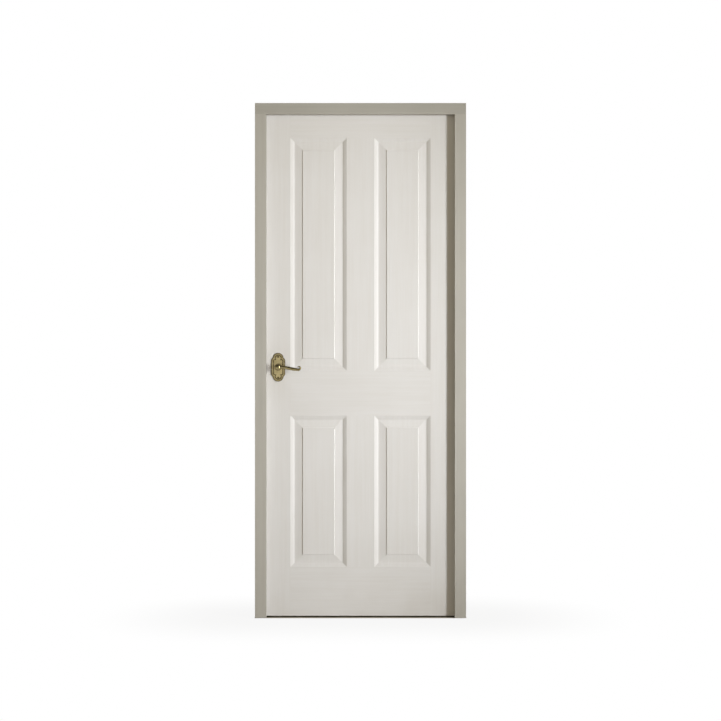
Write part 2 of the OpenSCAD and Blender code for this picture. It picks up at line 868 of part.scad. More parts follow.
// Half thickness and half width at each of those points
bar_half = concat(
    [for (i = [0 : bar_rings - 1])
        let (t = i / bar_rings)
        [mix(bar_h0, bar_h1, t) + 4 * bar_swell * t * (1 - t), mix(bar_w0, bar_w1, t)]],
    [for (i = [0 : scroll_rings])
        let (t = i / scroll_rings, k = i - scroll_rings + len(bud_shares) - 1)
        [mix(bar_h1, bar_h2, sqrt(t)) * (k < 0 ? 1 : bud_shares[k]), mix(bar_w1, bar_w2, t)]]);

module lever_bar() {
    last = len(bar_line) - 1;
    loft([for (i = [0 : last])
        let (dir = bar_line[min(i + 1, last)] - bar_line[max(i - 1, 0)])
        bar_ring(bar_line[i], dir, bar_half[i][0], bar_half[i][1])]);
}

// Turned neck and boss of a lever, radius and distance from the leaf
module lever_neck() {
    shoulder_z = collar_h + slide_gap;
    boss_z = bar_reach - boss_half;
    dome_z = bar_reach + boss_half;
    turned = concat([[0, slide_gap], [neck_r, slide_gap], [neck_r, shoulder_z],
        [shoulder_r, shoulder_z], [shoulder_r, shoulder_z + shoulder_h]],
        [for (p = bow([shoulder_z + shoulder_h, neck_r], [boss_z, neck_r], waist_r - neck_r))
            [p[1], p[0]]],
        [for (p = bow([boss_z, boss_r], [dome_z, boss_r], boss_swell)) [p[1], p[0]]],
        [for (i = [1 : bow_steps])
            let (a = 90 * i / bow_steps) [boss_r * cos(a), dome_z + dome_h * sin(a)]]);
    rotate_extrude() polygon(turned);
}

module grub_place() {
    translate([0, 0, grub_reach]) rotate([90, 0, 0]) children();
}

module lever() {
    color("#b8a05c") translate([spindle_x, -half_t, latch_z]) rotate([90, 0, 0]) difference() {
        union() {
            lever_neck();
            lever_bar();
        }
        socket = spindle_w + 2 * seat_gap;
        translate([-socket / 2, -socket / 2, 0]) cube([socket, socket, socket_reach]);
        grub_place() cylinder(r = grub_r + run_fit, h = boss_r);
    }
}

module front_lever() {
    lever();
}

module rear_lever() {
    mirror([0, 1, 0]) lever();
}

module lever_grub_screws() {
    color("#6f6a5a") for (s = [0, 1]) mirror([0, s, 0])
        translate([spindle_x, -half_t, latch_z]) rotate([90, 0, 0]) grub_place()
            translate([0, 0, spindle_w / 2 + seat_gap / 2]) difference() {
                cylinder(r = grub_r, h = waist_r - spindle_w / 2 - slide_gap);
                translate([-boss_r, -slot_w / 2, waist_r - spindle_w / 2 - slide_gap - slot_d])
                    cube([2 * boss_r, slot_w, 2 * slot_d]);
            }
}

module spindle() {
    len = leaf_t + 2 * (socket_reach - seat_gap);
    color("#a8a8a4") translate([spindle_x, 0, latch_z]) cube([spindle_w, len, spindle_w], center = true);
}

module follower() {
    hub_len = 2 * case_r + 2 * case_wall;
    color("#a8a8a4") translate([spindle_x, 0, latch_z]) difference() {
        union() {
            rotate([90, 0, 0]) cylinder(r = hub_r, h = hub_len, center = true);
            rotate([0, -cam_lead, 0]) translate([-cam_w, -cam_t, 0]) cube([2 * cam_w, 2 * cam_t, cam_r]);
        }
        cube([spindle_w + 2 * seat_gap, hub_len + 2 * overrun, spindle_w + 2 * seat_gap], center = true);
    }
}

module latch_bolt() {
    tail_x0 = bolt_back_x - tail_lap;
    tail_x1 = spindle_x - bar_lead + 2 * bar_r;
    color("#c9a24d") translate([0, 0, latch_z]) {
        translate([0, 0, -bolt_z]) linear_extrude(height = 2 * bolt_z)
            polygon([[bolt_tip_x, bolt_y], [bolt_tip_x, bolt_y / 2], [-half_w - slide_gap, -bolt_y],
                [bolt_back_x, -bolt_y], [bolt_back_x, bolt_y]]);
        for (s = [0, 1]) mirror([0, s, 0]) difference() {
            translate([tail_x0, tail_y, -tail_z]) cube([tail_x1 - tail_x0, tail_t, 2 * tail_z]);
            translate([fork_x, tail_y - overrun, -hub_r - slide_gap])
                cube([tail_x1 - fork_x + overrun, tail_t + 2 * overrun, 2 * (hub_r + slide_gap)]);
        }
        translate([spindle_x - bar_lead, 0, bar_z]) rotate([90, 0, 0])
            cylinder(r = bar_r, h = 2 * (tail_y + tail_t), center = true);
    }
}

hinge_jamb();
latch_jamb();
head_jamb();
head_screws();
strike_plate();
strike_screws();
hinge_frame_bottom();
hinge_frame_middle();
hinge_frame_top();
hinge_pin_bottom();
hinge_pin_middle();
hinge_pin_top();
hinge_frame_screws();
hinge_door_bottom();
hinge_door_middle();
hinge_door_top();
hinge_door_screws();
front_skin();
back_skin();
hinge_stile();
latch_stile();
top_rail();
bottom_rail();
lock_block();
honeycomb_core();
latch_forend();
latch_case();
forend_screws();
bolt_spring();
front_backplate();
rear_backplate();
front_plate_screws();
rear_plate_screws();
front_lever();
rear_lever();
lever_grub_screws();
spindle();
follower();
latch_bolt();
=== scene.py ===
import math

import bmesh
import bpy
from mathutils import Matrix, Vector


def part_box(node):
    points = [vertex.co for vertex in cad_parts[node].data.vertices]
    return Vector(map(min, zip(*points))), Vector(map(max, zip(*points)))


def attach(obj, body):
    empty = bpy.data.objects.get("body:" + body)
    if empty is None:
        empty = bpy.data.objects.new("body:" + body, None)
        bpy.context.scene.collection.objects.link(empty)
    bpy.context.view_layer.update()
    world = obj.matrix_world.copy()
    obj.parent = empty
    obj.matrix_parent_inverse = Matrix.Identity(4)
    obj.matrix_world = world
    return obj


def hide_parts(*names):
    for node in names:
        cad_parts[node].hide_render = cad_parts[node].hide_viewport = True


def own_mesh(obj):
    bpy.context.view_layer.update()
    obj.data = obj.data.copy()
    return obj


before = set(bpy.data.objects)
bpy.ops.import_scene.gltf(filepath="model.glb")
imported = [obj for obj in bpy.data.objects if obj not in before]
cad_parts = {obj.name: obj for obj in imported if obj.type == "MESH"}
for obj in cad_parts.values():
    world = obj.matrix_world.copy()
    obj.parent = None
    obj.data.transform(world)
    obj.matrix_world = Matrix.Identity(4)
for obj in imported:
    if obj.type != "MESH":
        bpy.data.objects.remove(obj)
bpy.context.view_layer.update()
print("frame loaded:", len(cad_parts), "nodes")


# a value that is a socket gets linked, anything else is set
def feed(tree, socket, value):
    if isinstance(value, bpy.types.NodeSocket):
        tree.links.new(value, socket)
    else:
        socket.default_value = value


def put(tree, kind, inputs=None, **settings):
    node = tree.nodes.new(kind)
    for key, value in settings.items():
        setattr(node, key, value)
    for key, value in (inputs or {}).items():
        feed(tree, node.inputs[key], value)
    return node


def calc(tree, operation, *values, clamp=False):
    settings = {"operation": operation, "use_clamp": clamp}
    return put(tree, "ShaderNodeMath", dict(enumerate(values)), **settings).outputs[0]


# looks give a ramp as its two inputs, then its two outputs
def ramp(tree, value, fromLow, fromHigh, toLow=0.0, toHigh=1.0):
    ends = {"Value": value, "From Min": fromLow, "From Max": fromHigh, "To Min": toLow, "To Max": toHigh}
    return put(tree, "ShaderNodeMapRange", ends, interpolation_type="SMOOTHSTEP").outputs[0]


# looks give a noise as its scale, detail and roughness
def noise(tree, place, scale, detail, roughness=0.5):
    inputs = {"Vector": place, "Scale": scale, "Detail": detail, "Roughness": roughness}
    return put(tree, "ShaderNodeTexNoise", inputs).outputs[0]


def blendColour(tree, factor, first, second):
    node = put(tree, "ShaderNodeMix", {"Factor": factor}, data_type="RGBA")
    for socket, value in ((node.inputs[6], first), (node.inputs[7], second)):
        feed(tree, socket, value if isinstance(value, bpy.types.NodeSocket) else (*value, 1.0))
    return node.outputs[2]


def blendValue(tree, factor, first, second):
    return put(tree, "ShaderNodeMix", {0: factor, 2: first, 3: second}, data_type="FLOAT").outputs[0]


def newGroup(name, inputs, outputs):
    group = bpy.data.node_groups.new(name, "ShaderNodeTree")
    for socket, kind in inputs.items():
        group.interface.new_socket(socket, in_out="INPUT", socket_type="NodeSocket" + kind)
    for socket in outputs:
        group.interface.new_socket(socket, in_out="OUTPUT", socket_type="NodeSocketFloat")
    return group, group.nodes.new("NodeGroupInput").outputs, group.nodes.new("NodeGroupOutput").inputs


def useGroup(tree, group, **inputs):
    return put(tree, "ShaderNodeGroup", inputs, node_tree=group).outputs


# streaks of pressed grain or of a brush, along the axis with the small stretch
streakLook = {"broad": (0.35, 4.0, 0.6), "fine": (2.2, 2.0, 0.5), "pores": (0.56, 0.7), "poreDepth": 0.55}


def makeStreaks(look):
    group, given, out = newGroup("paintStreaks", {"Place": "Vector", "Stretch": "Vector"}, ("Height", "Tone"))
    drawn = put(group, "ShaderNodeVectorMath", {0: given["Place"], 1: given["Stretch"]}, operation="MULTIPLY")
    broad = noise(group, drawn.outputs[0], *look["broad"])
    pores = ramp(group, noise(group, drawn.outputs[0], *look["fine"]), *look["pores"])
    height = calc(group, "SUBTRACT", broad, calc(group, "MULTIPLY", pores, look["poreDepth"]))
    group.links.new(height, out["Height"])
    group.links.new(broad, out["Tone"])
    return group


# dust, polish and patina left in hollows, and painted shade: a mask that is darkest where nearby surfaces
# close in
hollowLook = {"samples": 8}


def makeHollows(look):
    sockets = {"Reach": "Float", "Open": "Float", "Shut": "Float"}
    group, given, out = newGroup("hollowDustAndShade", sockets, ("Mask",))
    around = put(group, "ShaderNodeAmbientOcclusion", {"Distance": given["Reach"]}, samples=look["samples"])
    mask = ramp(group, around.outputs["AO"], given["Shut"], given["Open"], 1.0, 0.0)
    group.links.new(mask, out["Mask"])
    return group


# edges rubbed bright or bare; on the backplate the same mask paints the edges dark, as painted shade and
# tarnish along its outline
edgeWearAndShadeLook = {"samples": 6, "turn": (0.9, 0.998, 1.0, 0.0), "patch": (90.0, 3.0),
              "patchShare": (0.3, 0.6, 0.35, 1.0)}


def makeEdgeWearAndShade(look):
    group, given, out = newGroup("edgeWearAndShade", {"Radius": "Float", "Place": "Vector"}, ("Mask",))
    rounded = put(group, "ShaderNodeBevel", {"Radius": given["Radius"]}, samples=look["samples"]).outputs[0]
    surface = put(group, "ShaderNodeNewGeometry").outputs["Normal"]
    turn = put(group, "ShaderNodeVectorMath", {0: rounded, 1: surface}, operation="DOT_PRODUCT")
    edge = ramp(group, turn.outputs["Value"], *look["turn"])
    patchy = ramp(group, noise(group, given["Place"], *look["patch"]), *look["patchShare"])
    group.links.new(calc(group, "MULTIPLY", edge, patchy), out["Mask"])
    return group


streaks = makeStreaks(streakLook)
hollows = makeHollows(hollowLook)
edgeWearAndShade = makeEdgeWearAndShade(edgeWearAndShadeLook)


def newFinish(name):
    finish = bpy.data.materials.new(name)
    finish.use_nodes = True
    tree = finish.node_tree
    shader = next(n for n in tree.nodes if n.type == "BSDF_PRINCIPLED")
    place = put(tree, "ShaderNodeTexCoord").outputs["Object"]
    return finish, tree, shader, place


def wire(tree, shader, **inputs):
    for key, value in inputs.items():
        feed(tree, shader.inputs[key.replace("_", " ")], value)


def addBump(tree, shader, height, depth, strength):
    bump = put(tree, "ShaderNodeBump", {"Height": height, "Distance": depth, "Strength": strength})
    tree.links.new(bump.outputs[0], shader.inputs["Normal"])


doorPaintLook = {
    "white": (0.80, 0.785, 0.785), "shade": (0.765, 0.745, 0.735), "dustAndShade": (0.52, 0.47, 0.40),
    "grain": (260.0, 9.0), "grainShade": (0.3, 0.7, 0.0, 0.6), "bump": (0.00025, 0.35),
    "cloud": (4.0, 3.0), "cloudShade": (0.35, 0.65, 0.0, 0.4),
    "railHalf": 0.2755, "rails": ((1.886, 2.1), (0.792, 0.969), (-0.1, 0.197)),
    "hollow": {"Reach": 0.008, "Open": 0.85, "Shut": 0.35}, "dustAndShadeShare": 0.14,
    "handle": (-0.315, 0.0, 0.972), "hands": (0.05, 0.16, 0.10, 0.0), "scuffs": (0.01, 0.2, 0.12, 0.0),
    "patches": (0.4, 0.62), "roughness": (0.3, 0.7, 0.62, 0.72), "specular": 0.1,
}


def makeDoorPaint(look):
    finish, tree, shader, place = newFinish("doorPaint")
    x, _, z = put(tree, "ShaderNodeSeparateXYZ", {0: place}).outputs
    fine, long = look["grain"]
    band = 0.0
    for low, high in look["rails"]:
        inBand = calc(tree, "MULTIPLY", calc(tree, "GREATER_THAN", z, low), calc(tree, "LESS_THAN", z, high))
        band = calc(tree, "MAXIMUM", inBand, band)
    rail = calc(tree, "MULTIPLY", band, calc(tree, "LESS_THAN", calc(tree, "ABSOLUTE", x), look["railHalf"]))
    upright = useGroup(tree, streaks, Place=place, Stretch=(fine, fine, long))
    across = useGroup(tree, streaks, Place=place, Stretch=(long, fine, fine))
    height = blendValue(tree, rail, upright["Height"], across["Height"])
    tone = blendValue(tree, rail, upright["Tone"], across["Tone"])
    cloud = noise(tree, place, *look["cloud"])
    shade = calc(tree, "ADD", ramp(tree, tone, *look["grainShade"]), ramp(tree, cloud, *look["cloudShade"]))
    colour = blendColour(tree, shade, look["white"], look["shade"])
    reach = put(tree, "ShaderNodeVectorMath", {0: place, 1: look["handle"]}, operation="DISTANCE")
    hands = ramp(tree, reach.outputs["Value"], *look["hands"])  # touched round the lever
    scuffs = ramp(tree, z, *look["scuffs"])  # kicked and swept at the foot
    touched = calc(tree, "MULTIPLY", calc(tree, "ADD", hands, scuffs), ramp(tree, cloud, *look["patches"]))
    # dust in the hollows, and painted shade: the hollow mask darkens grooves, steps and inner corners where
    # shade falls
    dustAndShade = calc(tree, "MULTIPLY", useGroup(tree, hollows, **look["hollow"])["Mask"], look["dustAndShadeShare"])
    soilAndShade = calc(tree, "ADD", dustAndShade, touched, clamp=True)
    wire(tree, shader, Base_Color=blendColour(tree, soilAndShade, colour, look["dustAndShade"]),
         Roughness=ramp(tree, cloud, *look["roughness"]), Specular_IOR_Level=look["specular"])
    addBump(tree, shader, height, *look["bump"])
    return finish


framePaintLook = {
    "stone": (0.53, 0.508, 0.464), "shade": (0.485, 0.463, 0.42), "dustAndShade": (0.25, 0.21, 0.16),
    "bare": (0.60, 0.56, 0.49), "brush": (190.0, 4.0), "brushShade": (0.3, 0.7, 0.0, 0.6),
    "cloud": (6.0, 4.0), "cloudShade": (0.3, 0.7, 0.0, 0.4), "edgeReach": 0.0012, "edgeShare": 0.6,
    "hollow": {"Reach": 0.012, "Open": 0.85, "Shut": 0.3}, "dustAndShadeShare": 0.3,
    "roughness": (0.3, 0.7, 0.42, 0.56), "specular": 0.4, "bump": (0.0002, 0.4),
}
# the head's paint is a darker copy of the frame's: painted shade on the head
headPaintShadedLook = {**framePaintLook, "stone": (0.48, 0.462, 0.42), "shade": (0.435, 0.417, 0.376)}


# along is the axis of the brush strokes
def makeFramePaint(name, look, along):
    finish, tree, shader, place = newFinish(name)
    fine, long = look["brush"]
    stretch = [fine, fine, fine]
    stretch[along] = long
    brush = useGroup(tree, streaks, Place=place, Stretch=stretch)
    cloud = ramp(tree, noise(tree, place, *look["cloud"]), *look["cloudShade"])
    shade = calc(tree, "ADD", ramp(tree, brush["Tone"], *look["brushShade"]), cloud)
    colour = blendColour(tree, shade, look["stone"], look["shade"])
    edgeWearAndShadeMask = useGroup(tree, edgeWearAndShade, Radius=look["edgeReach"], Place=place)["Mask"]
    colour = blendColour(tree, calc(tree, "MULTIPLY", edgeWearAndShadeMask, look["edgeShare"]), colour, look["bare"])
    # dust in the hollows, and painted shade: the hollow mask darkens the rebates and inner corners where
    # shade falls
    dustAndShade = calc(tree, "MULTIPLY", useGroup(tree, hollows, **look["hollow"])["Mask"], look["dustAndShadeShare"])
    wire(tree, shader, Base_Color=blendColour(tree, dustAndShade, colour, look["dustAndShade"]),
         Roughness=ramp(tree, brush["Tone"], *look["roughness"]), Specular_IOR_Level=look["specular"])
    addBump(tree, shader, brush["Height"], *look["bump"])
    return finish


leverBrassLook = {
    "metal": (0.30, 0.245, 0.115), "edges": (0.62, 0.52, 0.28), "edgeReach": 0.0008, "edgeShare": 0.8,
    "tarnish": (0.06, 0.042, 0.014), "cloud": (55.0, 4.0, 0.6), "cloudDull": (0.42, 0.75, 0.0, 0.4),
    "spots": (380.0, 2.0), "spotDull": (0.3, 0.7, 0.4, 1.0), "roughness": (0.3, 0.7, 0.2, 0.36),
    "hollow": {"Reach": 0.006, "Open": 0.93, "Shut": 0.45}, "hollowShare": 0.9,
    "coatWeight": 0.15, "coatRoughness": 0.15, "bump": (0.00004, 0.25),
}
# the backplate's edges are painted dark and its rim is darkened: painted shade and tarnish along its outline
plateBrassLook = {
    **leverBrassLook, "metal": (0.62, 0.51, 0.26), "edges": (0.11, 0.083, 0.036), "edgeReach": 0.003,
    "roughness": (0.3, 0.7, 0.34, 0.5), "hollow": {"Reach": 0.005, "Open": 0.93, "Shut": 0.45},
    "hollowShare": 1.0, "middle": (-0.324, 0.983), "half": (0.0275, 0.0565), "rim": (0.5, 1.0, 0.0, 0.45),
}
screwBrassLook = {**plateBrassLook, "metal": (0.20, 0.155, 0.07)}
hingeBrassLook = {
    **leverBrassLook, "metal": (0.58, 0.46, 0.22), "edges": (0.80, 0.69, 0.38),
    "roughness": (0.3, 0.7, 0.24, 0.4), "hollowShare": 0.6,
}


# tarnish grows towards the edge of a plate that hands polish in the middle, and the darkening there also
# stands in for painted shade along its rim
def rimTarnishAndShade(tree, place, look):
    x, _, z = put(tree, "ShaderNodeSeparateXYZ", {0: place}).outputs
    away = []
    for value, middle, half in zip((x, z), look["middle"], look["half"]):
        share = calc(tree, "DIVIDE", calc(tree, "SUBTRACT", value, middle), half)
        away.append(calc(tree, "MULTIPLY", share, share))
    return ramp(tree, calc(tree, "ADD", *away), *look["rim"])


def makeBrass(name, look):
    finish, tree, shader, place = newFinish(name)
    cloud = noise(tree, place, *look["cloud"])
    spots = noise(tree, place, *look["spots"])
    dull = calc(tree, "MULTIPLY", ramp(tree, cloud, *look["cloudDull"]), ramp(tree, spots, *look["spotDull"]))
    hollow = calc(tree, "MULTIPLY", useGroup(tree, hollows, **look["hollow"])["Mask"], look["hollowShare"])
    tarnish = calc(tree, "ADD", dull, hollow, clamp=True)
    if "rim" in look:
        tarnish = calc(tree, "ADD", tarnish, rimTarnishAndShade(tree, place, look), clamp=True)
    colour = blendColour(tree, tarnish, look["metal"], look["tarnish"])
    # edges: worn bright on the lever and hinges; on the backplate painted dark, as painted shade along its
    # outline
    edgeWearAndShadeMask = useGroup(tree, edgeWearAndShade, Radius=look["edgeReach"], Place=place)["Mask"]
    edgeWearAndShadeShare = calc(tree, "MULTIPLY", edgeWearAndShadeMask, look["edgeShare"])
    wire(tree, shader, Base_Color=blendColour(tree, edgeWearAndShadeShare, colour, look["edges"]), Metallic=1.0,
         Roughness=ramp(tree, cloud, *look["roughness"]), Coat_Weight=look["coatWeight"],
         Coat_Roughness=look["coatRoughness"])
    addBump(tree, shader, spots, *look["bump"])
    return finish


zincLook = {"zinc": (0.52, 0.52, 0.50), "dull": (0.34, 0.335, 0.32), "spangle": 420.0, "spangleShare": 0.35,
            "hollow": {"Reach": 0.004, "Open": 0.95, "Shut": 0.4}, "hollowShare": 0.6,
            "roughness": (0.0, 1.0, 0.28, 0.42), "bump": (0.00003, 0.2)}


def makeZinc(look):
    finish, tree, shader, place = newFinish("zincPlate")
    spangle = put(tree, "ShaderNodeTexVoronoi", {"Vector": place, "Scale": look["spangle"]}).outputs["Color"]
    grey = put(tree, "ShaderNodeSeparateColor", {0: spangle}).outputs[0]
    hollow = calc(tree, "MULTIPLY", useGroup(tree, hollows, **look["hollow"])["Mask"], look["hollowShare"])
    dull = calc(tree, "ADD", calc(tree, "MULTIPLY", grey, look["spangleShare"]), hollow, clamp=True)
    wire(tree, shader, Base_Color=blendColour(tree, dull, look["zinc"], look["dull"]), Metallic=1.0,
         Roughness=ramp(tree, grey, *look["roughness"]))
    addBump(tree, shader, grey, *look["bump"])
    return finish


softwoodLook = {"pale": (0.60, 0.42, 0.23), "dark": (0.40, 0.24, 0.11), "stretch": (190.0, 190.0, 5.0),
                "shade": (0.35, 0.65), "roughness": (0.3, 0.7, 0.6, 0.8), "bump": (0.0003, 0.5)}
boardLook = {"pale": (0.52, 0.38, 0.20), "dark": (0.40, 0.28, 0.14), "stretch": (420.0, 60.0, 420.0),
             "shade": (0.3, 0.7), "roughness": (0.3, 0.7, 0.75, 0.9), "bump": (0.0001, 0.4)}


# bare wood or board, with its fibres along the axis with the small stretch
def makeFibre(name, look):
    finish, tree, shader, place = newFinish(name)
    fibre = useGroup(tree, streaks, Place=place, Stretch=look["stretch"])
    shade = ramp(tree, fibre["Tone"], *look["shade"])
    wire(tree, shader, Base_Color=blendColour(tree, shade, look["pale"], look["dark"]),
         Roughness=ramp(tree, fibre["Tone"], *look["roughness"]))
    addBump(tree, shader, fibre["Height"], *look["bump"])
    return finish


doorPaint = makeDoorPaint(doorPaintLook)
framePaintUpright = makeFramePaint("framePaintUpright", framePaintLook, 2)
# the head takes the darker copy: painted shade, with its brush strokes run across
framePaintHeadShaded = makeFramePaint("framePaintHeadShaded", headPaintShadedLook, 0)
leverBrass = makeBrass("leverBrass", leverBrassLook)
plateBrass = makeBrass("plateBrass", plateBrassLook)
hingeBrass = makeBrass("hingeBrass", hingeBrassLook)
screwBrass = makeBrass("screwBrass", screwBrassLook)
zincPlate = makeZinc(zincLook)
softwood = makeFibre("softwood", softwoodLook)
coreBoard = makeFibre("coreBoard", boardLook)
print("finishes made")


# smooth normals up to an angle, over whatever the modifiers before it leave
def makeSmoothing():
    group = bpy.data.node_groups.new("smoothToAngle", "GeometryNodeTree")
    group.interface.new_socket("Mesh", in_out="INPUT", socket_type="NodeSocketGeometry")
    group.interface.new_socket("Angle", in_out="INPUT", socket_type="NodeSocketFloat")
    group.interface.new_socket("Mesh", in_out="OUTPUT", socket_type="NodeSocketGeometry")
    given = group.nodes.new("NodeGroupInput").outputs
    corner = put(group, "GeometryNodeInputMeshEdgeAngle").outputs["Unsigned Angle"]
    crisp = put(group, "FunctionNodeCompare", {"A": corner, "B": given["Angle"]}, operation="GREATER_THAN")
    shaded = put(group, "GeometryNodeSetMeshNormal",
                 {"Mesh": given["Mesh"], "Remove Custom": True, "Edge Sharpness": crisp.outputs[0],
                  "Face Sharpness": False}, mode="SHARPNESS")
    out = group.nodes.new("NodeGroupOutput")
    group.links.new(shaded.outputs["Mesh"], out.inputs["Mesh"])
    return group


smoothing = makeSmoothing()


def smoothTo(piece, degrees):
    modifier = piece.modifiers.new("smoothToAngle", "NODES")
    modifier.node_group = smoothing
    socket = smoothing.interface.items_tree["Angle"].identifier
    modifier[socket] = math.radians(degrees)


# how far sharp edges are eased, in metres, and the angles that count as flat, sharp and smooth, in degrees
dressForm = {"timber": 0.0009, "plate": 0.0009, "hinge": 0.00025, "small": 0.0002, "segments": 2,
             "weld": 1e-6, "flat": 0.3, "sharp": 24.0, "smooth": 32.0, "mitred": 9.0}


def dress(node, finish, ease=None, smooth="smooth"):
    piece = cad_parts[node]
    piece.data.materials.clear()
    piece.data.materials.append(finish)
    weld = piece.modifiers.new("weld", "WELD")
    weld.merge_threshold = dressForm["weld"]
    if ease:
        flats = piece.modifiers.new("flats", "DECIMATE")
        flats.decimate_type = "DISSOLVE"
        flats.angle_limit = math.radians(dressForm["flat"])
        eased = piece.modifiers.new("arris", "BEVEL")
        eased.width = dressForm[ease]
        eased.segments = dressForm["segments"]
        eased.limit_method = "ANGLE"
        eased.angle_limit = math.radians(dressForm["sharp"])
        eased.miter_outer = "MITER_ARC"
    smoothTo(piece, dressForm[smooth])
    if ease:
        level = piece.modifiers.new("levelFaces", "WEIGHTED_NORMAL")  # broad faces stay flat
        level.keep_sharp = True


for node in ("hinge_jamb", "latch_jamb"):
    dress(node, framePaintUpright, "timber")
dress("head_jamb", framePaintHeadShaded, "timber")
for node in ("front_skin", "back_skin"):
    dress(node, doorPaint, smooth="mitred")  # keeps the mitres crisp
for node in ("hinge_stile", "latch_stile", "top_rail", "bottom_rail"):
    dress(node, doorPaint, "small")
for node in ("front_backplate", "rear_backplate"):
    dress(node, plateBrass, "plate")
for node in ("front_plate_screws", "rear_plate_screws"):
    dress(node, screwBrass)
for where in ("bottom", "middle", "top"):
    dress("hinge_frame_" + where, hingeBrass, "hinge")
    dress("hinge_door_" + where, hingeBrass, "hinge")
    dress("hinge_pin_" + where, hingeBrass, "small")
for node in ("strike_plate", "latch_forend", "latch_bolt"):
    dress(node, hingeBrass, "small")
for node in ("strike_screws", "forend_screws", "hinge_frame_screws", "hinge_door_screws"):
    dress(node, hingeBrass)
for node in ("latch_case", "spindle", "follower", "head_screws", "lever_grub_screws"):
    dress(node, zincPlate)
dress("lock_block", softwood)
dress("honeycomb_core", coreBoard)
print("solids dressed")

# the levers, forged in one piece: measures in metres from the spindle and from the face of the leaf
leverForm = {
    "spindle": (-0.324, 0.983), "face": 0.0175, "reach": 0.046, "scrollX": 0.0825, "drop": 0.0093,
    "scrollRadius": 0.0072, "scrollTurn": 255.0, "scrollEnd": 0.5, "pull": ((0.34, -0.5), (0.6, 0.9)),
    "thick": (0.0057, 0.0051, 0.0018), "swell": 0.0012, "wide": (0.006, 0.005, 0.0034),
    "budFrom": 0.75, "bud": (1.0, 1.1, 1.35, 1.4, 1.2, 0.75),
    "barRings": 36, "scrollRings": 60, "sides": 32, "turnedSides": 72, "turnedSteps": 12,
    "neck": ((0.008, 0.0003), (0.008, 0.0093), (0.0104, 0.0093), (0.0104, 0.0117)),
    "waist": (0.008, 0.0072), "boss": (0.0096, 0.01), "bossHalf": 0.007, "dome": 0.003,
    "grubOut": 0.022, "grubRadius": 0.00255, "grubDrops": (-0.0045, -0.014), "grubSides": 32,
    "voxel": 0.00042, "easings": 5, "easeShare": 0.5, "smooth": 40.0,
}


def lerp(a, b, t):
    return a + (b - a) * t


def turns(count):
    return [2 * math.pi * j / count for j in range(count)]


def budShare(form, t):
    start, shares = form["budFrom"], form["bud"]
    if t <= start:
        return 1.0
    step = (t - start) / (1.0 - start) * (len(shares) - 1)
    i = min(int(step), len(shares) - 2)
    return lerp(shares[i], shares[i + 1], step - i)


def barLine(form):
    (ax, az), (bx, bz) = form["pull"]
    line = []
    for i in range(form["barRings"]):
        t = i / form["barRings"]
        s = 1.0 - t
        x = (3 * s * s * t * ax + 3 * s * t * t * bx + t ** 3) * form["scrollX"]
        z = -(3 * s * s * t * az + 3 * s * t * t * bz + t ** 3) * form["drop"]
        thick = lerp(form["thick"][0], form["thick"][1], t) + 4 * form["swell"] * t * s
        line.append((x, z, thick, lerp(form["wide"][0], form["wide"][1], t)))
    for i in range(form["scrollRings"] + 1):
        t = i / form["scrollRings"]
        a = math.radians(t * form["scrollTurn"] - 90.0)
        r = form["scrollRadius"] * (1.0 - t * (1.0 - form["scrollEnd"]))
        thick = lerp(form["thick"][1], form["thick"][2], math.sqrt(t)) * budShare(form, t)
        line.append((form["scrollX"] + r * math.cos(a), form["scrollRadius"] - form["drop"] + r * math.sin(a),
                     thick, lerp(form["wide"][1], form["wide"][2], t)))
    return line


def skinRings(mesh, rings):
    for lower, upper in zip(rings, rings[1:]):
        for i in range(len(lower)):
            k = (i + 1) % len(lower)
            mesh.faces.new((lower[i], lower[k], upper[k], upper[i]))
    mesh.faces.new(rings[0][::-1])
    mesh.faces.new(rings[-1])


def loftBar(mesh, form, spot):
    line = barLine(form)
    rings = []
    for i, (x, z, thick, wide) in enumerate(line):
        back, ahead = line[max(i - 1, 0)], line[min(i + 1, len(line) - 1)]
        way = Vector((ahead[0] - back[0], ahead[1] - back[1])).normalized()
        ring = []
        for a in turns(form["sides"]):
            lift = thick * math.cos(a)
            out = form["reach"] + wide * math.sin(a)
            ring.append(mesh.verts.new(spot(x - way[1] * lift, z + way[0] * lift, out)))
        rings.append(ring)
    skinRings(mesh, rings)


def turnedProfile(form):
    steps = form["turnedSteps"]
    neckEnd = form["neck"][-1][1]
    bossLow, bossHigh = form["reach"] - form["bossHalf"], form["reach"] + form["bossHalf"]
    profile = list(form["neck"])
    for (edge, middle), start, end in ((form["waist"], neckEnd, bossLow), (form["boss"], bossLow, bossHigh)):
        for i in range(steps + 1):
            t = i / steps
            profile.append((lerp(edge, middle, 4 * t * (1 - t)), lerp(start, end, t)))
    for i in range(1, steps):
        a = math.pi / 2 * i / steps
        profile.append((form["boss"][0] * math.cos(a), bossHigh + form["dome"] * math.sin(a)))
    return profile


def turnNeck(mesh, form, spot):
    rings = []
    for r, out in turnedProfile(form):
        rings.append([mesh.verts.new(spot(r * math.cos(a), r * math.sin(a), out))
                      for a in turns(form["turnedSides"])])
    skinRings(mesh, rings)


def settle(piece):
    graph = bpy.context.evaluated_depsgraph_get()
    mesh = bpy.data.meshes.new_from_object(piece.evaluated_get(graph))
    old = piece.data
    piece.modifiers.clear()
    piece.data = mesh
    bpy.data.meshes.remove(old)


def newPiece(name, mesh):
    bmesh.ops.recalc_face_normals(mesh, faces=mesh.faces)
    data = bpy.data.meshes.new(name)
    mesh.to_mesh(data)
    mesh.free()
    piece = bpy.data.objects.new(name, data)
    bpy.context.scene.collection.objects.link(piece)
    return piece


